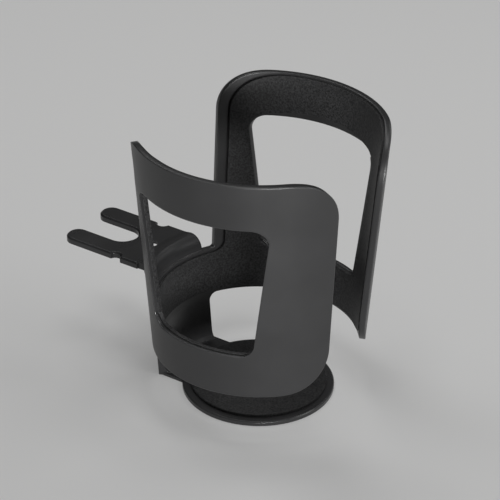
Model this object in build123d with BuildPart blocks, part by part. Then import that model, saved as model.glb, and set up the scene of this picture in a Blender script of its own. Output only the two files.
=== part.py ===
"""Vent-fork cup holder: a slotted conical shell on a round foot, with a soft liner and a foot mat.

Millimetres. Z is the cup's axis, the origin is the centre of the foot's underside,
+Y points along the fork into the air vent and -Y out through the mouth.
"""
import math
import os

from build123d import *

os.makedirs("parts", exist_ok=True)

# The cup's cone: outer radius at floor level and its growth with height.
CONE_FOOT_R = 39.25
CONE_GROWTH = 0.077
WALL = 2.4
TOP_Z = 112.0
BAND_BOTTOM_Z = 20.6
BAND_TOP_Z = 40.0

# Overshoots of the cutting blocks: across the whole cone, and past a face.
REACH = 60.0
PAST = 1.0

# Mouth between the two panels, half widths at the band's bottom and at the rim.
MOUTH_HALF_LOW = 12.1
MOUTH_HALF_HIGH = 15.7
MOUTH_CORNER_TOP = 19.0
MOUTH_CORNER_LOW = 15.5

# Notch over the band on the fork's side, half widths at the band's top and at the rim.
NOTCH_HALF_LOW = 20.8
NOTCH_HALF_HIGH = 27.7
NOTCH_CORNER_TOP = 15.5
NOTCH_CORNER_LOW = 1.2

# Windows through the two panels, tapering downwards, and the rails they leave above and below.
TOP_RAIL = 18.0
LOW_RAIL = 18.0
WINDOW_HALF_LOW = 21.8
WINDOW_HALF_HIGH = 29.3
WINDOW_CORNER = 5.5

# Leg, arm and foot disc, and the round heel between leg and arm.
LEG_HALF = 17.2
LEG_FILLET = 3.5
ARM_HALF = 16.6
ARM_T = 1.1
HEEL_R = 3.5
FOOT_R = 29.5
FOOT_T = 1.8
FOOT_EDGE = 0.4

# Foot mat lying on the disc, short of its edge.
MAT_MARGIN = 2.9
MAT_T = 1.4
MAT_EDGE = 0.4

# Liner in a shallow pocket of the shell, and how far it stops short of each edge.
POCKET_DEPTH = 0.8
LINER_BACK_GAP = 0.3
LINER_EDGE_GAP = 0.25
LINER_T = 1.5
LINER_BOTTOM_RISE = 2.0
LINER_BAND_DROP = 1.7
LINER_TOP_DROP = 0.9
LINER_MOUTH_INSET = 3.4
LINER_NOTCH_INSET = 2.8
LINER_NOTCH_CORNER = 4.5
LINER_ARCH = 3.4
LINER_LEDGE = 0.3

# Fork plate: its top above the band, and distances out from the band's outer face to the hole,
# the waist, the slot's end and the tips. A recess under the hole leaves a thin web.
PLATE_RISE = 6.0
PLATE_T = 2.5
PLATE_EDGE = 0.6
SHOULDER_HALF = 15.7
PRONG_HALF = 15.2
SLOT_HALF = 6.2
HOLE_OUT = 8.1
HOLE_D = 4.2
RECESS_D = 8.4
WEB_T = 1.2
WAIST_OUT = 14.5
WAIST_R = 2.4
WAIST_STEP = 0.6
SLOT_OUT = 16.3
TIP_OUT = 40.9

# Roll that carries the plate up from the band: it starts a step outside the band's inner face,
# crests over the plate's level, runs down to it, laps onto the plate and turns under it.
ROLL_STEP = 0.5
ROLL_FOOT = 1.0
CREST_RUN = 4.8
CREST_RISE = 0.4
DOWN_RUN = 2.8
LAP_RUN = 1.5
ROOT_LAP = 0.9
ROLL_UNDER_R = 3.4
ROLL_SWEEP = 50.0
ROLL_HALF = 15.1

WINDOW_LOW_Z = BAND_BOTTOM_Z + LOW_RAIL
WINDOW_HIGH_Z = TOP_Z - TOP_RAIL
LINER_LOW_Z = BAND_BOTTOM_Z + LINER_BOTTOM_RISE
PLATE_TOP_Z = BAND_TOP_Z + PLATE_RISE


def cone_r(z, inset=0.0):
    """Radius of the cone at height z, inset from its outer face."""
    return CONE_FOOT_R + CONE_GROWTH * z - inset


def slope(low, high, low_z, high_z, z):
    """Straight-line value at height z between two heights."""
    return low + (high - low) * (z - low_z) / (high_z - low_z)


def panel_outline(mouth_inset, notch_inset, low_z, band_z, top_z, notch_corner, leg_z):
    """Block that holds both panels and the band, and the leg down to leg_z where there is one."""
    mouth_low = slope(MOUTH_HALF_LOW, MOUTH_HALF_HIGH, BAND_BOTTOM_Z, TOP_Z, low_z) + mouth_inset
    mouth_high = slope(MOUTH_HALF_LOW, MOUTH_HALF_HIGH, BAND_BOTTOM_Z, TOP_Z, top_z) + mouth_inset
    notch_low = slope(NOTCH_HALF_LOW, NOTCH_HALF_HIGH, BAND_TOP_Z, TOP_Z, band_z) + notch_inset
    notch_high = slope(NOTCH_HALF_LOW, NOTCH_HALF_HIGH, BAND_TOP_Z, TOP_Z, top_z) + notch_inset
    with BuildPart(mode=Mode.PRIVATE) as block:
        with BuildSketch(Plane.XZ):
            with BuildLine():
                Polyline(
                    (mouth_low, low_z),
                    (REACH, low_z),
                    (REACH, top_z),
                    (mouth_high, top_z),
                    close=True,
                )
            make_face()
            top_corner = vertices().sort_by_distance((mouth_high, top_z))[0]
            fillet(top_corner, MOUTH_CORNER_TOP - mouth_inset / 2)
            low_corner = vertices().sort_by_distance((mouth_low, low_z))[0]
            fillet(low_corner, MOUTH_CORNER_LOW - mouth_inset / 2)
        extrude(amount=REACH)
        with BuildSketch(Plane.XZ):
            with BuildLine():
                Polyline(
                    (0, low_z),
                    (REACH, low_z),
                    (REACH, top_z),
                    (notch_high, top_z),
                    (notch_low, band_z),
                    (0, band_z),
                    close=True,
                )
            make_face()
            fillet(vertices().sort_by_distance((notch_high, top_z))[0], NOTCH_CORNER_TOP)
            fillet(vertices().sort_by_distance((notch_low, band_z))[0], notch_corner)
            if leg_z is not None:
                with BuildLine():
                    Polyline((0, leg_z), (LEG_HALF, leg_z), (LEG_HALF, low_z), (0, low_z), close=True)
                make_face()
                fillet(vertices().sort_by_distance((LEG_HALF, low_z))[0], LEG_FILLET)
        extrude(amount=-REACH)
        mirror(about=Plane.YZ)
    return block.part


def sheet(outline, outer_inset, thickness, low_z):
    """Sheet of even thickness that follows the cone within an outline, its edges square to it."""
    with BuildPart(mode=Mode.PRIVATE) as core:
        with BuildSketch(Plane.YZ):
            Polygon(
                (0, low_z - PAST),
                (-cone_r(low_z - PAST, outer_inset), low_z - PAST),
                (-cone_r(TOP_Z + PAST, outer_inset), TOP_Z + PAST),
                (0, TOP_Z + PAST),
                align=None,
            )
        revolve(axis=Axis.Z)
        add(outline, mode=Mode.INTERSECT)
    with BuildPart(mode=Mode.PRIVATE) as wall:
        thicken(core.faces().filter_by(GeomType.CONE), amount=-thickness)
        split(bisect_by=Plane.XY.offset(low_z), keep=Keep.TOP)
    return wall.part


def windows(arch):
    """Prism through both panels; arch lifts the middle of its upper edge."""
    with BuildPart(mode=Mode.PRIVATE) as prism:
        with BuildSketch(Plane.YZ):
            with BuildLine():
                Polyline(
                    (-WINDOW_HALF_HIGH, WINDOW_HIGH_Z),
                    (-WINDOW_HALF_LOW, WINDOW_LOW_Z),
                    (WINDOW_HALF_LOW, WINDOW_LOW_Z),
                    (WINDOW_HALF_HIGH, WINDOW_HIGH_Z),
                )
                if arch:
                    ThreePointArc(
                        (WINDOW_HALF_HIGH, WINDOW_HIGH_Z),
                        (0, WINDOW_HIGH_Z + arch),
                        (-WINDOW_HALF_HIGH, WINDOW_HIGH_Z),
                    )
                else:
                    Line((WINDOW_HALF_HIGH, WINDOW_HIGH_Z), (-WINDOW_HALF_HIGH, WINDOW_HIGH_Z))
            make_face()
            fillet(vertices(), WINDOW_CORNER)
        extrude(amount=REACH, both=True)
    return prism.part


# Radii of the roll, from the band's inner edge out to its lap on the plate.
band_out_r = cone_r(BAND_TOP_Z)
roll_foot_r = cone_r(BAND_TOP_Z, WALL) + ROLL_STEP
crest_r = roll_foot_r + CREST_RUN
down_r = crest_r + DOWN_RUN
lap_r = down_r + LAP_RUN
plate_root_y = math.sqrt(lap_r**2 - SHOULDER_HALF**2) - ROOT_LAP

# Fork plate: shoulders, waist and two round-ended prongs.
with BuildPart() as plate:
    prong_r = (PRONG_HALF - SLOT_HALF) / 2
    prong_end_y = band_out_r + TIP_OUT - prong_r
    slot_end_y = band_out_r + SLOT_OUT
    waist_y = band_out_r + WAIST_OUT
    with BuildSketch(Plane.XY.offset(PLATE_TOP_Z - PLATE_T)):
        with BuildLine():
            Polyline(
                (0, plate_root_y),
                (SHOULDER_HALF, plate_root_y),
                (SHOULDER_HALF, waist_y),
                (PRONG_HALF, waist_y),
                (PRONG_HALF, prong_end_y),
            )
            RadiusArc((PRONG_HALF, prong_end_y), (SLOT_HALF, prong_end_y), -prong_r)
            Line((SLOT_HALF, prong_end_y), (SLOT_HALF, slot_end_y + SLOT_HALF))
            RadiusArc((SLOT_HALF, slot_end_y + SLOT_HALF), (0, slot_end_y), SLOT_HALF)
            Line((0, slot_end_y), (0, plate_root_y))
        make_face()
        with Locations((PRONG_HALF + WAIST_STEP, waist_y)):
            Circle(WAIST_R, mode=Mode.SUBTRACT)
        mirror(about=Plane.YZ)
    extrude(amount=PLATE_T)
    chamfer(plate.edges().group_by(Axis.Z)[-1], PLATE_EDGE)

# Rolled root of the fork: rises from the band, crests and runs out into the plate.
with BuildPart() as roll:
    foot_z = BAND_TOP_Z - ROLL_FOOT
    crest_z = PLATE_TOP_Z + CREST_RISE
    under_z = PLATE_TOP_Z - PLATE_T
    with BuildSketch(Plane.YZ):
        with BuildLine():
            Line((roll_foot_r, foot_z), (roll_foot_r, BAND_TOP_Z))
            EllipticalCenterArc(
                (crest_r, BAND_TOP_Z),
                CREST_RUN,
                crest_z - BAND_TOP_Z,
                start_angle=90,
                arc_size=90,
            )
            Spline(
                (crest_r, crest_z),
                ((crest_r + down_r) / 2, (crest_z + PLATE_TOP_Z) / 2),
                (down_r, PLATE_TOP_Z),
                tangents=((1, 0), (1, 0)),
            )
            Polyline(
                (down_r, PLATE_TOP_Z),
                (lap_r, PLATE_TOP_Z),
                (lap_r, under_z),
                (band_out_r + ROLL_UNDER_R, under_z),
            )
            RadiusArc(
                (band_out_r + ROLL_UNDER_R, under_z),
                (band_out_r, under_z - ROLL_UNDER_R),
                ROLL_UNDER_R,
            )
            Polyline(
                (band_out_r, under_z - ROLL_UNDER_R),
                (band_out_r - ROLL_STEP, foot_z),
                (roll_foot_r, foot_z),
            )
        make_face()
    revolve(axis=Axis.Z, revolution_arc=ROLL_SWEEP)

# Shell, leg, arm, foot disc and fork: one moulding.
with BuildPart() as body:
    shell_outline = panel_outline(0, 0, BAND_BOTTOM_Z, BAND_TOP_Z, TOP_Z, NOTCH_CORNER_LOW, -PAST)
    add(sheet(shell_outline, 0, WALL, 0))

    # Shallow pocket that the liner lies in.
    pocket_outline = panel_outline(
        LINER_MOUTH_INSET - LINER_EDGE_GAP,
        LINER_NOTCH_INSET - LINER_EDGE_GAP,
        LINER_LOW_Z - LINER_LEDGE,
        BAND_TOP_Z - LINER_BAND_DROP + LINER_EDGE_GAP,
        TOP_Z - LINER_TOP_DROP + LINER_EDGE_GAP,
        LINER_NOTCH_CORNER,
        None,
    )
    pocket = sheet(pocket_outline, WALL - POCKET_DEPTH, POCKET_DEPTH + PAST, LINER_LOW_Z)
    add(pocket, mode=Mode.SUBTRACT)
    add(windows(0), mode=Mode.SUBTRACT)

    # Foot disc, and the thinner arm that joins it to the leg.
    with BuildPart(mode=Mode.PRIVATE) as disc:
        with BuildSketch(Plane.XY):
            Circle(FOOT_R)
        extrude(amount=FOOT_T)
        chamfer(disc.edges().group_by(Axis.Z)[-1], FOOT_EDGE)
    add(disc.part)
    with BuildSketch(Plane.XY):
        with Locations((0, CONE_FOOT_R / 2)):
            Rectangle(2 * ARM_HALF, CONE_FOOT_R)
        Circle(CONE_FOOT_R - WALL / 2, mode=Mode.INTERSECT)
    extrude(amount=ARM_T)
    arm_arcs = body.edges().filter_by(GeomType.CIRCLE).filter_by_position(Axis.Z, ARM_T, ARM_T)
    fillet(arm_arcs.sort_by(Axis.Y)[-1], HEEL_R)

    # Fork: the roll is trimmed to its width, and the hole goes in from below, recess first.
    with BuildPart(mode=Mode.PRIVATE) as root:
        add(roll.part.rotate(Axis.Z, -ROLL_SWEEP / 2))
        with Locations((0, REACH / 2, TOP_Z / 2)):
            Box(2 * ROLL_HALF, REACH, TOP_Z, mode=Mode.INTERSECT)
    add(root.part)
    add(plate.part)
    with Locations(Plane((0, band_out_r + HOLE_OUT, PLATE_TOP_Z - PLATE_T), z_dir=(0, 0, -1))):
        CounterBoreHole(HOLE_D / 2, RECESS_D / 2, PLATE_T - WEB_T, depth=PLATE_T + PAST)

# Soft liner: one sheet behind both panels and the band.
with BuildPart() as grip_liner:
    liner_outline = panel_outline(
        LINER_MOUTH_INSET,
        LINER_NOTCH_INSET,
        LINER_LOW_Z - LINER_LEDGE,
        BAND_TOP_Z - LINER_BAND_DROP,
        TOP_Z - LINER_TOP_DROP,
        LINER_NOTCH_CORNER,
        None,
    )
    add(sheet(liner_outline, WALL - POCKET_DEPTH + LINER_BACK_GAP, LINER_T, LINER_LOW_Z))
    add(windows(LINER_ARCH), mode=Mode.SUBTRACT)

# Round mat on the foot disc.
with BuildPart() as foot_mat:
    with BuildSketch(Plane.XY.offset(FOOT_T)):
        Circle(FOOT_R - MAT_MARGIN)
    extrude(amount=MAT_T)
    chamfer(foot_mat.edges().group_by(Axis.Z)[-1], MAT_EDGE)

body.part.label = "holder_body"
export_step(body.part, "parts/holder_body.step")
grip_liner.part.label = "grip_liner"
export_step(grip_liner.part, "parts/grip_liner.step")
foot_mat.part.label = "foot_mat"
export_step(foot_mat.part, "parts/foot_mat.step")
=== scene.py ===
"""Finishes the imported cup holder: satin shell, grained liner and foot mat, plain studio stage."""

import math
from typing import NamedTuple

import bmesh
import bpy
from bpy.props import FloatProperty, FloatVectorProperty, IntProperty, PointerProperty
from bpy.types import Operator, Panel, PropertyGroup
from mathutils import Matrix, Vector
from mathutils.geometry import delaunay_2d_cdt
from mathutils.kdtree import KDTree


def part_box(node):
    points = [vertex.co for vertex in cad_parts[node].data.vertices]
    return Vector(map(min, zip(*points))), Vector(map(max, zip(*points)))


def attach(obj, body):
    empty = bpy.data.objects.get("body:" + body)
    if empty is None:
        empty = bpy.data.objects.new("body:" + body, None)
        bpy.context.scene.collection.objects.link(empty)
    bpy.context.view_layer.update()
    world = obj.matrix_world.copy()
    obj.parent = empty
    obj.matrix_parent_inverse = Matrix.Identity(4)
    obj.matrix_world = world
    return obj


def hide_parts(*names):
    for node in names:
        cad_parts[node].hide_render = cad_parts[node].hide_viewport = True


bl_info = {
    "name": "Vent-fork cup holder",
    "version": (1, 0, 0),
    "blender": (4, 5, 0),
    "location": "3D View > Sidebar > Cup holder",
    "description": "Dresses the cup holder's solids and sets up a plain stage for them",
    "category": "Object",
}

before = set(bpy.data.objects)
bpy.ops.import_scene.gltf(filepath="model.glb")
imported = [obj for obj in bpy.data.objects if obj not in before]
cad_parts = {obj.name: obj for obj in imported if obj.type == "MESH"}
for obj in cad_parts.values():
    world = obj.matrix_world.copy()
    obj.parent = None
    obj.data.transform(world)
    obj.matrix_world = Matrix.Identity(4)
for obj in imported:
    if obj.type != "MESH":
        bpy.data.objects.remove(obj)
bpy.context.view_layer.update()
MAT_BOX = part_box("foot_mat")
LINER_NAME = "soft_liner"
MAT_NAME = "soft_mat"

# Finishes
NOISE_LOW, NOISE_HIGH = 0.3, 0.7  # most of a noise texture's values lie between these
MASK_BLUR = 0.001  # width over which one part's finish runs into the next
LOOKS_IN, LOOKS_OUT = 0.01, 0.02  # a normal's outward share times the distance from the axis
LOOKS_SIDEWAYS, LOOKS_UP = 0.3, 0.7  # a normal's upward share
# Bounds of the band along the edges that gets the painted highlight colour and the lower roughness.
EDGE_HIGHLIGHT_FULL, EDGE_HIGHLIGHT_NONE = 0.85, 0.97  # likeness of the softened normal and the face's own
EDGE_SAMPLES = 8
MIX_COLOUR_A, MIX_COLOUR_B, MIX_COLOUR_RESULT = 6, 7, 2  # several of its sockets share a name

# Soft pieces
MERGE_DISTANCE = 1e-6
FLAT_TOLERANCE = 1e-9
INNER_FACE = -0.5  # a face whose outward share is less than this looks at the cup's axis
EASING_ROUNDS = 2  # rounds of smoothing along the liner's outlines
EDGE_ROOM = 0.6  # share of the pitch that stays free along the liner's outlines
MAT_EDGE_POINTS = 5

# Stage
FLOOR_HALF = 20.0
FLOOR_ROUGHNESS = 0.9
SENSOR_WIDTH = 36.0  # millimetres
PHOTO_PIXELS = 500


class Lamp(NamedTuple):
    """Soft lamp, placed by its turn from the camera and its height angle; degrees, metres, watts."""

    name: str
    turn: float
    rise: float
    distance: float
    width: float
    height: float
    power: float
    flagged: bool = False  # whether its light is kept off the floor and the mat


LAMPS = (
    Lamp("front lamp", 12.0, 8.0, 0.45, 0.2, 0.06, 2.4, flagged=True),
    Lamp("mouth lamp", 75.0, 28.0, 0.9, 0.4, 0.4, 1.25),
    Lamp("top lamp", 0.0, 86.0, 0.9, 0.4, 0.4, 1.8),
    Lamp("right back lamp", 125.0, 40.0, 0.9, 0.5, 0.5, 1.0),
    Lamp("left back lamp", -145.0, 56.0, 0.9, 0.5, 0.5, 1.7),
    Lamp("back card", 180.0, 32.0, 0.9, 0.6, 0.6, 0.08),
)


class ShellSettings(PropertyGroup):
    """Satin black moulding: panels, band, leg, foot disc and fork."""

    colour: FloatVectorProperty(
        name="Colour",
        description="Main colour of the moulding",
        subtype="COLOR",
        size=3,
        min=0.0,
        max=1.0,
        default=(0.0190, 0.0190, 0.0195),
    )
    colour_pale: FloatVectorProperty(
        name="Pale colour",
        description="Colour where the moulding's skin is a shade paler",
        subtype="COLOR",
        size=3,
        min=0.0,
        max=1.0,
        default=(0.0235, 0.0235, 0.0241),
    )
    cloud_size: FloatProperty(
        name="Cloud size",
        description="Size of the faint clouds of paler skin",
        unit="LENGTH",
        min=0.001,
        default=0.022,
    )
    roughness: FloatProperty(
        name="Roughness",
        description="Roughness of the panels' etched skin",
        subtype="FACTOR",
        min=0.0,
        max=1.0,
        default=0.43,
    )
    roughness_inside: FloatProperty(
        name="Inside roughness",
        description="Roughness of the panels' inner faces and rims",
        subtype="FACTOR",
        min=0.0,
        max=1.0,
        default=0.36,
    )
    roughness_smooth: FloatProperty(
        name="Smooth roughness",
        description="Roughness of the fork, the leg and the foot, which are smoother",
        subtype="FACTOR",
        min=0.0,
        max=1.0,
        default=0.28,
    )
    roughness_spread: FloatProperty(
        name="Roughness spread",
        description="How far the roughness wanders with the clouds",
        subtype="FACTOR",
        min=0.0,
        max=1.0,
        default=0.06,
    )
    skin_size: FloatProperty(
        name="Skin grain size",
        description="Size of the mould's fine etched grain",
        unit="LENGTH",
        min=0.00005,
        default=0.00035,
        precision=5,
    )
    skin_depth: FloatProperty(
        name="Skin grain depth",
        description="Depth of the mould's fine etched grain",
        unit="LENGTH",
        min=0.0,
        default=0.000002,
        precision=6,
    )
    edge_radius: FloatProperty(
        name="Edge radius",
        description="Radius that the moulding's edges appear to have",
        unit="LENGTH",
        min=0.0,
        default=0.0008,
        precision=5,
    )
    edge_radius_top: FloatProperty(
        name="Top edge radius",
        description="Radius that the edges of rims, sills and other faces that look up appear to have",
        unit="LENGTH",
        min=0.0,
        default=0.0015,
        precision=5,
    )
    edge_radius_smooth: FloatProperty(
        name="Smooth edge radius",
        description="Radius that the edges of the fork, the leg and the foot appear to have",
        unit="LENGTH",
        min=0.0,
        default=0.0002,
        precision=5,
    )
    # Painted highlight: a paler colour laid along the edges in place of the highlights that they
    # catch; the new moulding's edges are not worn.
    edge_highlight_colour: FloatVectorProperty(
        name="Edge colour",
        description="Colour of the edges, which handling has rubbed paler",
        subtype="COLOR",
        size=3,
        min=0.0,
        max=1.0,
        default=(0.050, 0.050, 0.051),
    )
    # Lower roughness along the edges that carry the painted highlight.
    edge_polish: FloatProperty(
        name="Edge polish",
        description="How much less rough the rubbed edges are",
        subtype="FACTOR",
        min=0.0,
        max=1.0,
        default=0.10,
    )
    fork_start: FloatProperty(
        name="Fork start",
        description="Distance out from the cup's axis where the smooth fork begins",
        unit="LENGTH",
        default=0.0425,
    )
    leg_top: FloatProperty(
        name="Leg top",
        description="Height below which the leg and the foot are smooth",
        unit="LENGTH",
        default=0.0195,
    )


class SoftSettings(PropertyGroup):
    """Grained soft sheet of the liner and the foot mat."""

    colour: FloatVectorProperty(
        name="Colour",
        description="Colour in the hollows of the grain",
        subtype="COLOR",
        size=3,
        min=0.0,
        max=1.0,
        default=(0.0050, 0.0050, 0.0052),
    )
    colour_top: FloatVectorProperty(
        name="Top colour",
        description="Colour on the tops of the grain",
        subtype="COLOR",
        size=3,
        min=0.0,
        max=1.0,
        default=(0.0420, 0.0420, 0.0428),
    )
    roughness: FloatProperty(
        name="Roughness",
        description="Roughness of the soft sheet",
        subtype="FACTOR",
        min=0.0,
        max=1.0,
        default=0.60,
    )
    shine: FloatProperty(
        name="Shine",
        description="Strength of the soft sheet's reflections",
        subtype="FACTOR",
        min=0.0,
        max=1.0,
        default=0.32,
    )
    grain_size: FloatProperty(
        name="Grain size",
        description="Width of one pebble of the grain",
        unit="LENGTH",
        min=0.0001,
        default=0.0007,
        precision=5,
    )
    grain_depth: FloatProperty(
        name="Grain depth",
        description="Height of the pebbles over the hollows",
        unit="LENGTH",
        min=0.0,
        default=0.00012,
        precision=6,
    )
    step: FloatProperty(
        name="Step",
        description="Distance between points along the liner's edges",
        unit="LENGTH",
        min=0.0002,
        default=0.0006,
        precision=5,
    )
    pitch: FloatProperty(
        name="Pitch",
        description="Distance between points inside the liner's sheet",
        unit="LENGTH",
        min=0.0005,
        default=0.0015,
        precision=5,
    )
    liner_edge: FloatProperty(
        name="Liner edge radius",
        description="Radius of the liner's edges",
        unit="LENGTH",
        min=0.0,
        default=0.0002,
        precision=5,
    )
    edge_steps: IntProperty(
        name="Edge steps",
        description="Steps round a quarter of the liner's edge",
        min=1,
        default=4,
    )
    swell: FloatProperty(
        name="Swell",
        description="How far the liner's sheet fills the gap to the pocket around it",
        unit="LENGTH",
        min=0.0,
        default=0.00024,
        precision=5,
    )
    mat_edge: FloatProperty(
        name="Mat edge radius",
        description="Radius of the mat's edges",
        unit="LENGTH",
        min=0.0,
        default=0.0005,
        precision=5,
    )
    mat_steps: IntProperty(
        name="Mat steps",
        description="Points around the mat",
        min=24,
        default=160,
    )


class StageSettings(PropertyGroup):
    """Floor, sky and camera."""

    azimuth: FloatProperty(
        name="Azimuth",
        description="Camera's turn about the cup's axis; 0 looks along +Y",
        subtype="ANGLE",
        default=math.radians(-55.89),
    )
    elevation: FloatProperty(
        name="Elevation",
        description="Camera's angle above the horizon",
        subtype="ANGLE",
        default=math.radians(30.34),
    )
    roll: FloatProperty(
        name="Roll",
        description="Camera's turn about its own axis",
        subtype="ANGLE",
        default=math.radians(0.56),
    )
    distance: FloatProperty(
        name="Distance",
        description="Camera's distance from the point it looks at",
        unit="LENGTH",
        min=0.1,
        default=0.8534,
    )
    look_height: FloatProperty(
        name="Look height",
        description="Height of the point on the cup's axis that the camera looks at",
        unit="LENGTH",
        default=0.055,
    )
    lens: FloatProperty(
        name="Lens",
        description="Focal length in millimetres",
        unit="CAMERA",
        min=1.0,
        default=162.96,
    )
    centre: FloatVectorProperty(
        name="Picture centre",
        description="Pixel that the camera's axis passes through, from the upper left",
        size=2,
        default=(259.35, 261.18),
    )
    floor_colour: FloatVectorProperty(
        name="Floor colour",
        description="Pale colour of the floor",
        subtype="COLOR",
        size=3,
        min=0.0,
        max=1.0,
        default=(0.55, 0.55, 0.547),
    )
    sky: FloatProperty(
        name="Sky",
        description="Strength of the even light from all round",
        min=0.0,
        default=0.02,
    )
    glow: FloatProperty(
        name="Glow",
        description="How much paler the floor looks than its light makes it",
        subtype="FACTOR",
        min=0.0,
        max=1.0,
        default=0.36,
    )


class HolderSettings(PropertyGroup):
    """All that can be set on the cup holder."""

    shell: PointerProperty(name="Shell", description="Satin moulding", type=ShellSettings)
    soft: PointerProperty(name="Soft", description="Liner and foot mat", type=SoftSettings)
    stage: PointerProperty(name="Stage", description="Floor, sky and camera", type=StageSettings)


def new_material(name):
    """Node material, its nodes, its link adder and its Principled shader."""
    material = bpy.data.materials.new(name)
    material.use_nodes = True
    nodes = material.node_tree.nodes
    return material, nodes, material.node_tree.links.new, nodes["Principled BSDF"]


def object_place(nodes):
    """Object coordinates."""
    return nodes.new("ShaderNodeTexCoord").outputs["Object"]


def object_noise(nodes, link, size, detail, roughness):
    """Noise of the given feature size on Object coordinates."""
    noise = nodes.new("ShaderNodeTexNoise")
    noise.inputs["Scale"].default_value = 1.0 / size
    noise.inputs["Detail"].default_value = detail
    noise.inputs["Roughness"].default_value = roughness
    link(object_place(nodes), noise.inputs["Vector"])
    return noise.outputs["Fac"]


def span(nodes, link, value, from_low, from_high, to_low, to_high):
    """Value carried from one range to another and held within it."""
    node = nodes.new("ShaderNodeMapRange")
    node.inputs["From Min"].default_value = from_low
    node.inputs["From Max"].default_value = from_high
    node.inputs["To Min"].default_value = to_low
    node.inputs["To Max"].default_value = to_high
    link(value, node.inputs["Value"])
    return node.outputs["Result"]


def arithmetic(nodes, link, operation, *values):
    """Math node on sockets and numbers."""
    node = nodes.new("ShaderNodeMath")
    node.operation = operation
    for socket, value in zip(node.inputs, values):
        if isinstance(value, float):
            socket.default_value = value
        else:
            link(value, socket)
    return node.outputs[0]


def blend(nodes, link, factor, low, high):
    """Number that runs from low, a socket, to high with the factor."""
    node = nodes.new("ShaderNodeMix")
    link(factor, node.inputs["Factor"])
    link(low, node.inputs["A"])
    node.inputs["B"].default_value = high
    return node.outputs["Result"]


def blend_colours(nodes, link, factor, low, high):
    """Colour that runs from low to high with the factor."""
    ramp = nodes.new("ShaderNodeValToRGB")
    ramp.color_ramp.elements[0].color = (*low, 1.0)
    ramp.color_ramp.elements[1].color = (*high, 1.0)
    ramp.color_ramp.elements[0].position = NOISE_LOW
    ramp.color_ramp.elements[1].position = NOISE_HIGH
    link(factor, ramp.inputs["Fac"])
    return ramp.outputs["Color"]


def bump(nodes, link, height, depth, normal=None):
    """Normal bent by a height field of the given depth."""
    node = nodes.new("ShaderNodeBump")
    node.inputs["Strength"].default_value = 1.0
    node.inputs["Distance"].default_value = depth
    link(height, node.inputs["Height"])
    if normal is not None:
        link(normal, node.inputs["Normal"])
    return node.outputs["Normal"]


def object_normal(nodes):
    """Normal in object coordinates."""
    return nodes.new("ShaderNodeTexCoord").outputs["Normal"]


def likeness(nodes, link, one, other):
    """Dot product of two vectors."""
    node = nodes.new("ShaderNodeVectorMath")
    node.operation = "DOT_PRODUCT"
    link(one, node.inputs[0])
    link(other, node.inputs[1])
    return node.outputs["Value"]


def smooth_parts(nodes, link, settings):
    """Masks of the fork, leg and foot, and of the faces that don't look away from the axis."""
    axes = nodes.new("ShaderNodeSeparateXYZ")
    link(object_place(nodes), axes.inputs["Vector"])
    fork_full = settings.fork_start + MASK_BLUR
    fork = span(nodes, link, axes.outputs["Y"], settings.fork_start, fork_full, 0.0, 1.0)
    leg_full = settings.leg_top - MASK_BLUR
    foot = span(nodes, link, axes.outputs["Z"], leg_full, settings.leg_top, 1.0, 0.0)
    from_axis = nodes.new("ShaderNodeCombineXYZ")
    link(axes.outputs["X"], from_axis.inputs["X"])
    link(axes.outputs["Y"], from_axis.inputs["Y"])
    outward = likeness(nodes, link, from_axis.outputs["Vector"], object_normal(nodes))
    inside = span(nodes, link, outward, LOOKS_IN, LOOKS_OUT, 1.0, 0.0)
    return arithmetic(nodes, link, "MAXIMUM", fork, foot), inside


def softened_edges(nodes, link, settings, ends):
    """Normal that rounds the moulding's edges."""
    looks = nodes.new("ShaderNodeSeparateXYZ")
    link(object_normal(nodes), looks.inputs["Vector"])
    sizes = (settings.edge_radius, settings.edge_radius_top)
    radius = span(nodes, link, looks.outputs["Z"], LOOKS_SIDEWAYS, LOOKS_UP, *sizes)
    radius = blend(nodes, link, ends, radius, settings.edge_radius_smooth)
    softened = nodes.new("ShaderNodeBevel")
    softened.samples = EDGE_SAMPLES
    link(radius, softened.inputs["Radius"])
    return softened.outputs["Normal"]


def highlight_edge_band(nodes, link, softened):
    """1 along the edges, where the softened normal leaves the face's own, 0 on the faces; the band of
    the painted edge highlight.
    """
    own = nodes.new("ShaderNodeNewGeometry").outputs["Normal"]
    alike = likeness(nodes, link, softened, own)
    return span(nodes, link, alike, EDGE_HIGHLIGHT_FULL, EDGE_HIGHLIGHT_NONE, 1.0, 0.0)


def moulded_roughness(nodes, link, settings, clouds, ends, inside):
    """Roughness of each part of the moulding, which wanders a little with the clouds."""
    parts = span(nodes, link, inside, 0.0, 1.0, settings.roughness, settings.roughness_inside)
    parts = blend(nodes, link, ends, parts, settings.roughness_smooth)
    half = settings.roughness_spread / 2
    wander = span(nodes, link, clouds, NOISE_LOW, NOISE_HIGH, -half, half)
    return arithmetic(nodes, link, "ADD", parts, wander)


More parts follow.
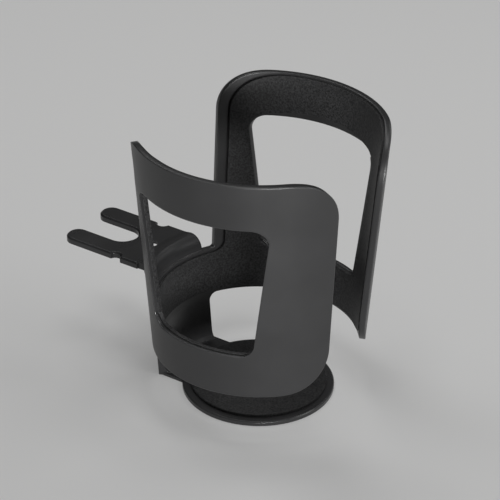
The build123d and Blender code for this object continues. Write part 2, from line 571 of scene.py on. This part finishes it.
def satin_plastic(settings):
    """Satin black plastic with softened edges, a paler colour painted along them as a highlight, and
    the mould's faint etched grain.
    """
    material, nodes, link, shader = new_material("satin_black_plastic")
    clouds = object_noise(nodes, link, settings.cloud_size, detail=3.0, roughness=0.5)
    ends, inside = smooth_parts(nodes, link, settings)
    softened = softened_edges(nodes, link, settings, ends)
    # The edge band carries the painted highlight colour and the lower edge roughness.
    rubbed = highlight_edge_band(nodes, link, softened)

    # Painted highlight: along the edge band the colour runs to the paler edge colour.
    paler = nodes.new("ShaderNodeMix")
    paler.data_type = "RGBA"
    link(rubbed, paler.inputs["Factor"])
    colour = blend_colours(nodes, link, clouds, settings.colour, settings.colour_pale)
    link(colour, paler.inputs[MIX_COLOUR_A])
    paler.inputs[MIX_COLOUR_B].default_value = (*settings.edge_highlight_colour, 1.0)
    link(paler.outputs[MIX_COLOUR_RESULT], shader.inputs["Base Color"])

    satin = moulded_roughness(nodes, link, settings, clouds, ends, inside)
    polish = span(nodes, link, rubbed, 0.0, 1.0, 0.0, settings.edge_polish)
    link(arithmetic(nodes, link, "SUBTRACT", satin, polish), shader.inputs["Roughness"])

    grain = object_noise(nodes, link, settings.skin_size, detail=2.0, roughness=0.6)
    skin = bump(nodes, link, grain, settings.skin_depth, softened)
    link(skin, shader.inputs["Normal"])
    return material


def soft_grain(settings):
    """Dull soft sheet with a pebbled grain."""
    material, nodes, link, shader = new_material("grained_soft_sheet")
    shader.inputs["Roughness"].default_value = settings.roughness
    shader.inputs["Specular IOR Level"].default_value = settings.shine
    pebbles = object_noise(nodes, link, settings.grain_size, detail=3.0, roughness=0.55)
    colour = blend_colours(nodes, link, pebbles, settings.colour, settings.colour_top)
    link(colour, shader.inputs["Base Color"])
    link(bump(nodes, link, pebbles, settings.grain_depth), shader.inputs["Normal"])
    return material


def wear(piece, material):
    """Gives a piece one material in its first slot."""
    piece.data.materials.clear()
    piece.data.materials.append(material)


def new_piece(name, mesh):
    """New object in the scene."""
    piece = bpy.data.objects.new(name, mesh)
    bpy.context.scene.collection.objects.link(piece)
    return piece


def bake_modifiers(piece):
    """Replaces a piece's mesh by what its modifiers make of it."""
    depsgraph = bpy.context.evaluated_depsgraph_get()
    mesh = bpy.data.meshes.new_from_object(piece.evaluated_get(depsgraph))
    piece.modifiers.clear()
    piece.data = mesh


def stand_for(piece, node):
    """Lets a piece stand for a CAD node: hides the node and hangs the piece on the root body."""
    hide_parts(node)
    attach(piece, "root")


class CUPHOLDER_OT_dress_shell(Operator):
    """Give the moulding its satin black plastic"""

    bl_idname = "cup_holder.dress_shell"
    bl_label = "Dress shell"

    def execute(self, context):
        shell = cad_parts["holder_body"]
        material = satin_plastic(context.scene.cup_holder.shell)
        for slot in shell.material_slots:
            slot.material = material
        return {"FINISHED"}


def inner_outlines(solid):
    """Outlines of the sheet's face that looks at the cup's axis, with that face on their left."""

    def looks_in(face):
        outwards = face.calc_center_median().xy.normalized()
        return face.normal.xy.dot(outwards) < INNER_FACE

    following = {}
    for face in filter(looks_in, solid.faces):
        for corner in face.loops:
            if not looks_in(corner.link_loop_radial_next.face):
                following[corner.vert] = corner.link_loop_next.vert
    outlines = []
    while following:
        first, vert = following.popitem()
        outline = [first.co.copy()]
        while vert is not first:
            outline.append(vert.co.copy())
            vert = following.pop(vert)
        outlines.append(outline)
    return outlines


def neighbours(points):
    """Each point of a closed line with the one before and the one after it."""
    return zip(points[-1:] + points[:-1], points, points[1:] + points[:1])


def even_steps(outline, step, rounds):
    """Closed line with points at even steps, its corners eased a little."""
    sides = [(after - here).length for _, here, after in neighbours(outline)]
    count = round(sum(sides) / step)
    step = sum(sides) / count
    points = []
    reached = 0.0
    for side, (_, here, after) in zip(sides, neighbours(outline)):
        while len(points) < count and len(points) * step < reached + side:
            points.append(here.lerp(after, (len(points) * step - reached) / side))
        reached += side
    for _ in range(rounds):
        points = [(before + 2 * here + after) / 4 for before, here, after in neighbours(points)]
    return points


class Cone:
    """Cone about the cup's axis that the liner's inner face lies on."""

    def __init__(self, points):
        low = min(points, key=lambda point: point.z)
        high = max(points, key=lambda point: point.z)
        self.slope = (high.xy.length - low.xy.length) / (high.z - low.z)
        self.foot = low.xy.length - self.slope * low.z
        self.girth = sum(point.xy.length for point in points) / len(points)

    def outwards(self, point):
        """Direction square to the cone, away from the axis."""
        flat = point.xy.normalized()
        return Vector((flat.x, flat.y, -self.slope)).normalized()

    def depth(self, point):
        """Distance of a point behind the cone."""
        return (point.xy.length - self.foot - self.slope * point.z) / math.hypot(1.0, self.slope)

    def unrolled(self, point):
        """Place on the flat: along the girth from the fork's side, and up."""
        return Vector((math.atan2(point.x, point.y) * self.girth, point.z))

    def rolled(self, place, depth):
        """Point for a place on the flat, moved behind the cone by a depth."""
        turn = place.x / self.girth
        radius = self.foot + self.slope * place.y
        point = Vector((radius * math.sin(turn), radius * math.cos(turn), place.y))
        return point + depth * self.outwards(point)


def edge_profile(radius, thickness, swell, steps):
    """Rounded edge of a sheet, front to back: pairs of inset and depth."""
    turns = [math.pi / 2 * step / steps for step in range(steps + 1)]
    front = [(radius * (1 - math.sin(t)) - swell, radius * (1 - math.cos(t))) for t in turns]
    return front + [(inset, thickness - depth) for inset, depth in reversed(front)]


def face_sides(face):
    """Sides of a face, each from one point to the next."""
    return zip(face, face[1:] + face[:1])


def flat_fill(outlines, pitch):
    """Places, triangles and border that fill outlines on the flat, with even points inside."""
    points = [place for outline in outlines for place in outline]
    sides = []
    for outline in outlines:
        start = len(sides)
        sides += [(start + i, start + (i + 1) % len(outline)) for i in range(len(outline))]
    edge_points = KDTree(len(points))
    for index, place in enumerate(points):
        edge_points.insert(place.to_3d(), index)
    edge_points.balance()
    low = Vector((min(place.x for place in points), min(place.y for place in points)))
    high = Vector((max(place.x for place in points), max(place.y for place in points)))
    for column in range(int((high.x - low.x) / pitch) + 1):
        for row in range(int((high.y - low.y) / pitch) + 1):
            place = low + pitch * Vector((column + 0.5 * (row % 2), row))
            _, _, distance = edge_points.find(place.to_3d())
            if distance > EDGE_ROOM * pitch:
                points.append(place)
    whole_hull = 0
    filled = delaunay_2d_cdt(points, sides, [], whole_hull, FLAT_TOLERANCE)
    places, _, triangles, origins, _, _ = filled
    order = {origin: index for index, found in enumerate(origins) for origin in found}
    borders = {(order[start], order[end]) for start, end in sides}

    # Keep what lies to the left of the outlines.
    owners = {side: number for number, face in enumerate(triangles) for side in face_sides(face)}
    waiting = sorted({owners[side] for side in borders})
    inside = set(waiting)
    while waiting:
        for start, end in face_sides(triangles[waiting.pop()]):
            beyond = owners.get((end, start))
            if (start, end) not in borders and beyond not in inside:
                inside.add(beyond)
                waiting.append(beyond)
    faces = [triangles[number] for number in sorted(inside)]
    used = sorted({index for face in faces for index in face})
    number = {index: new for new, index in enumerate(used)}
    return (
        [places[index] for index in used],
        [[number[index] for index in face] for face in faces],
        [number[order[index]] for index in range(len(sides))],
    )


def rounded_sheet(name, node, settings):
    """Mesh of a sheet with rounded edges on the cone of a CAD node's inner face."""
    solid = bmesh.new()
    solid.from_mesh(node.data)
    bmesh.ops.remove_doubles(solid, verts=solid.verts, dist=MERGE_DISTANCE)
    outlines = inner_outlines(solid)
    cone = Cone([point for outline in outlines for point in outline])
    thickness = max(cone.depth(vert.co) for vert in solid.verts)
    solid.free()

    profile = edge_profile(settings.liner_edge, thickness, settings.swell, settings.edge_steps)
    outlines = [even_steps(outline, settings.step, EASING_ROUNDS) for outline in outlines]
    rings = [[[] for _ in outlines] for _ in profile]
    for number, outline in enumerate(outlines):
        for before, here, after in neighbours(outline):
            outwards = cone.outwards(here)
            inset = (after - before).normalized().cross(outwards)
            for ring, (across, depth) in zip(rings, profile):
                ring[number].append(here + across * inset + depth * outwards)

    front = [[cone.unrolled(point) for point in outline] for outline in rings[0]]
    places, triangles, border = flat_fill(front, settings.pitch)
    points = [cone.rolled(place, 0.0) for place in places]
    points += [cone.rolled(place, thickness) for place in places]
    back = len(places)
    faces = [tuple(face) for face in triangles]
    faces += [tuple(back + index for index in reversed(face)) for face in triangles]
    start = 0
    for number, outline in enumerate(outlines):
        count = len(outline)
        rows = [border[start : start + count]]
        for ring in rings[1:-1]:
            rows.append(range(len(points), len(points) + count))
            points += ring[number]
        rows.append([back + index for index in rows[0]])
        for upper, lower in zip(rows, rows[1:]):
            for i in range(count):
                j = (i + 1) % count
                faces.append((upper[j], upper[i], lower[i], lower[j]))
        start += count
    mesh = bpy.data.meshes.new(name)
    mesh.from_pydata(points, [], faces)
    mesh.shade_smooth()
    return mesh


class CUPHOLDER_OT_make_liner(Operator):
    """Make the soft liner, a grained sheet with rounded edges"""

    bl_idname = "cup_holder.make_liner"
    bl_label = "Make liner"

    def execute(self, context):
        settings = context.scene.cup_holder.soft
        mesh = rounded_sheet(LINER_NAME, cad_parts["grip_liner"], settings)
        liner = new_piece(LINER_NAME, mesh)
        wear(liner, soft_grain(settings))
        stand_for(liner, "grip_liner")
        return {"FINISHED"}


def mat_tree(material):
    """Node tree of a round mat: its half section carried round a circle."""
    tree = bpy.data.node_groups.new("Round mat", "GeometryNodeTree")
    sockets = tree.interface
    sockets.new_socket("Geometry", in_out="OUTPUT", socket_type="NodeSocketGeometry")
    for name in ("Radius", "Base", "Top", "Edge"):
        sockets.new_socket(name, in_out="INPUT", socket_type="NodeSocketFloat")
    sockets.new_socket("Steps", in_out="INPUT", socket_type="NodeSocketInt")
    nodes = tree.nodes
    link = tree.links.new
    sizes = nodes.new("NodeGroupInput").outputs

    # Half section: inwards from the rim along X, downwards from the top along Y.
    inwards = arithmetic(nodes, link, "MULTIPLY", sizes["Radius"], -1.0)
    thickness = arithmetic(nodes, link, "SUBTRACT", sizes["Top"], sizes["Base"])
    section = nodes.new("GeometryNodeCurvePrimitiveQuadrilateral")
    section.mode = "POINTS"
    corners = {
        "Point 1": (inwards, None),
        "Point 2": (None, None),
        "Point 3": (None, thickness),
        "Point 4": (inwards, thickness),
    }
    for name, (x, y) in corners.items():
        corner = nodes.new("ShaderNodeCombineXYZ")
        if x is not None:
            link(x, corner.inputs["X"])
        if y is not None:
            link(y, corner.inputs["Y"])
        link(corner.outputs["Vector"], section.inputs[name])
    opened = nodes.new("GeometryNodeSetSplineCyclic")
    opened.inputs["Cyclic"].default_value = False
    link(section.outputs["Curve"], opened.inputs["Geometry"])
    rounded = nodes.new("GeometryNodeFilletCurve")
    rounded.mode = "POLY"
    rounded.inputs["Count"].default_value = MAT_EDGE_POINTS
    rounded.inputs["Limit Radius"].default_value = True
    link(opened.outputs["Geometry"], rounded.inputs["Curve"])
    link(sizes["Edge"], rounded.inputs["Radius"])

    # Circle at the top's height that carries the section.
    circle = nodes.new("GeometryNodeCurvePrimitiveCircle")
    link(sizes["Steps"], circle.inputs["Resolution"])
    link(sizes["Radius"], circle.inputs["Radius"])
    height = nodes.new("ShaderNodeCombineXYZ")
    link(sizes["Top"], height.inputs["Z"])
    lifted = nodes.new("GeometryNodeTransform")
    link(circle.outputs["Curve"], lifted.inputs["Geometry"])
    link(height.outputs["Vector"], lifted.inputs["Translation"])

    carried = nodes.new("GeometryNodeCurveToMesh")
    link(lifted.outputs["Geometry"], carried.inputs["Curve"])
    link(rounded.outputs["Curve"], carried.inputs["Profile Curve"])
    merged = nodes.new("GeometryNodeMergeByDistance")
    merged.inputs["Distance"].default_value = MERGE_DISTANCE
    link(carried.outputs["Mesh"], merged.inputs["Geometry"])
    realized = nodes.new("GeometryNodeRealizeInstances")
    link(merged.outputs["Geometry"], realized.inputs["Geometry"])
    dressed = nodes.new("GeometryNodeSetMaterial")
    dressed.inputs["Material"].default_value = material
    link(realized.outputs["Geometry"], dressed.inputs["Geometry"])
    link(dressed.outputs["Geometry"], nodes.new("NodeGroupOutput").inputs["Geometry"])
    return tree


class CUPHOLDER_OT_make_mat(Operator):
    """Make the round grained mat that lies on the foot"""

    bl_idname = "cup_holder.make_mat"
    bl_label = "Make foot mat"

    def execute(self, context):
        settings = context.scene.cup_holder.soft
        low, high = MAT_BOX
        sizes = {
            "Radius": (high[0] - low[0]) / 2,
            "Base": low[2],
            "Top": high[2],
            "Edge": settings.mat_edge,
            "Steps": settings.mat_steps,
        }
        mat = new_piece(MAT_NAME, bpy.data.meshes.new(MAT_NAME))
        tree = mat_tree(soft_grain(settings))
        maker = mat.modifiers.new("Round mat", "NODES")
        maker.node_group = tree
        for socket in tree.interface.items_tree:
            if socket.in_out == "INPUT":
                maker[socket.identifier] = sizes[socket.name]
        bake_modifiers(mat)
        mat.data.shade_smooth()
        stand_for(mat, "foot_mat")
        return {"FINISHED"}


def soft_lamp(lamp, place, target):
    """Lamp with a wide soft face, turned towards its target."""
    light = bpy.data.lights.new(lamp.name, "AREA")
    light.shape = "RECTANGLE"
    light.size = lamp.width
    light.size_y = lamp.height
    light.energy = lamp.power
    holder = bpy.data.objects.new(lamp.name, light)
    holder.location = place
    holder.rotation_mode = "QUATERNION"
    holder.rotation_quaternion = (target - place).to_track_quat("-Z", "Y")
    holder.visible_camera = False
    bpy.context.scene.collection.objects.link(holder)
    return holder


def shade_from(lamp, things):
    """Keeps a lamp's light off some things, as a flag on the lamp does."""
    unlit = bpy.data.collections.new("flagged")
    for thing in things:
        unlit.objects.link(thing)
    lamp.light_linking.receiver_collection = unlit
    for member in unlit.collection_objects:
        member.light_linking.link_state = "EXCLUDE"


def round_place(azimuth, elevation, distance, height):
    """Point at a distance from the cup's axis, seen from the given side and height."""
    return Vector(
        (
            math.sin(azimuth) * math.cos(elevation) * distance,
            -math.cos(azimuth) * math.cos(elevation) * distance,
            math.sin(elevation) * distance + height,
        )
    )


def studio_world(stage):
    """Even light from all round."""
    world = bpy.data.worlds.new("studio")
    world.use_nodes = True
    light = world.node_tree.nodes["Background"]
    light.inputs["Color"].default_value = (1.0, 1.0, 1.0, 1.0)
    light.inputs["Strength"].default_value = stage.sky
    return world


def pale_floor(stage):
    """Pale floor with a faint glow that the camera and reflections see but that lights nothing."""
    material, nodes, link, shader = new_material("pale_floor")
    shader.inputs["Base Color"].default_value = (*stage.floor_colour, 1.0)
    shader.inputs["Roughness"].default_value = FLOOR_ROUGHNESS
    shader.inputs["Emission Color"].default_value = (*stage.floor_colour, 1.0)
    ray = nodes.new("ShaderNodeLightPath").outputs
    seen = arithmetic(nodes, link, "MAXIMUM", ray["Is Camera Ray"], ray["Is Glossy Ray"])
    seen = arithmetic(nodes, link, "MAXIMUM", seen, ray["Is Transmission Ray"])
    glow = arithmetic(nodes, link, "MULTIPLY", seen, stage.glow)
    link(glow, shader.inputs["Emission Strength"])
    return material


class CUPHOLDER_OT_set_stage(Operator):
    """Set the floor, the lamps and the camera"""

    bl_idname = "cup_holder.set_stage"
    bl_label = "Set stage"

    def execute(self, context):
        scene = context.scene
        stage = scene.cup_holder.stage
        scene.view_settings.view_transform = "Standard"
        scene.world = studio_world(stage)

        floor_mesh = bpy.data.meshes.new("floor")
        sheet = bmesh.new()
        bmesh.ops.create_grid(sheet, x_segments=1, y_segments=1, size=FLOOR_HALF)
        sheet.to_mesh(floor_mesh)
        sheet.free()
        floor = new_piece("floor", floor_mesh)
        wear(floor, pale_floor(stage))

        target = Vector((0.0, 0.0, stage.look_height))
        low_things = [thing for thing in (floor, bpy.data.objects.get(MAT_NAME)) if thing]
        for lamp in LAMPS:
            azimuth = stage.azimuth + math.radians(lamp.turn)
            rise = math.radians(lamp.rise)
            place = round_place(azimuth, rise, lamp.distance, stage.look_height)
            holder = soft_lamp(lamp, place, target)
            if lamp.flagged:
                shade_from(holder, low_things)

        lens = bpy.data.cameras.new("camera")
        lens.lens = stage.lens
        lens.sensor_width = SENSOR_WIDTH
        lens.shift_x = 0.5 - stage.centre[0] / PHOTO_PIXELS
        lens.shift_y = stage.centre[1] / PHOTO_PIXELS - 0.5
        camera = bpy.data.objects.new("camera", lens)
        place = round_place(stage.azimuth, stage.elevation, stage.distance, stage.look_height)
        aim = (target - place).to_track_quat("-Z", "Y").to_matrix().to_4x4()
        roll = Matrix.Rotation(stage.roll, 4, "Z")
        camera.matrix_world = Matrix.Translation(place) @ aim @ roll
        scene.collection.objects.link(camera)
        scene.camera = camera
        return {"FINISHED"}


class CUPHOLDER_PT_sidebar(Panel):
    """Settings and steps of the cup holder"""

    bl_idname = "CUPHOLDER_PT_sidebar"
    bl_label = "Cup holder"
    bl_space_type = "VIEW_3D"
    bl_region_type = "UI"
    bl_category = "Cup holder"

    def draw(self, context):
        settings = context.scene.cup_holder
        for group in (settings.shell, settings.soft, settings.stage):
            box = self.layout.box()
            for name in group.__annotations__:
                box.prop(group, name)
        for operator in STEPS:
            self.layout.operator(operator.bl_idname)


STEPS = (
    CUPHOLDER_OT_dress_shell,
    CUPHOLDER_OT_make_liner,
    CUPHOLDER_OT_make_mat,
    CUPHOLDER_OT_set_stage,
)
CLASSES = (ShellSettings, SoftSettings, StageSettings, HolderSettings, *STEPS, CUPHOLDER_PT_sidebar)


def register():
    for cls in CLASSES:
        bpy.utils.register_class(cls)
    bpy.types.Scene.cup_holder = PointerProperty(type=HolderSettings)


def unregister():
    del bpy.types.Scene.cup_holder
    for cls in reversed(CLASSES):
        bpy.utils.unregister_class(cls)


def main():
    register()
    bpy.ops.cup_holder.dress_shell()
    bpy.ops.cup_holder.make_liner()
    bpy.ops.cup_holder.make_mat()
    bpy.ops.cup_holder.set_stage()


if __name__ == "__main__":
    main()
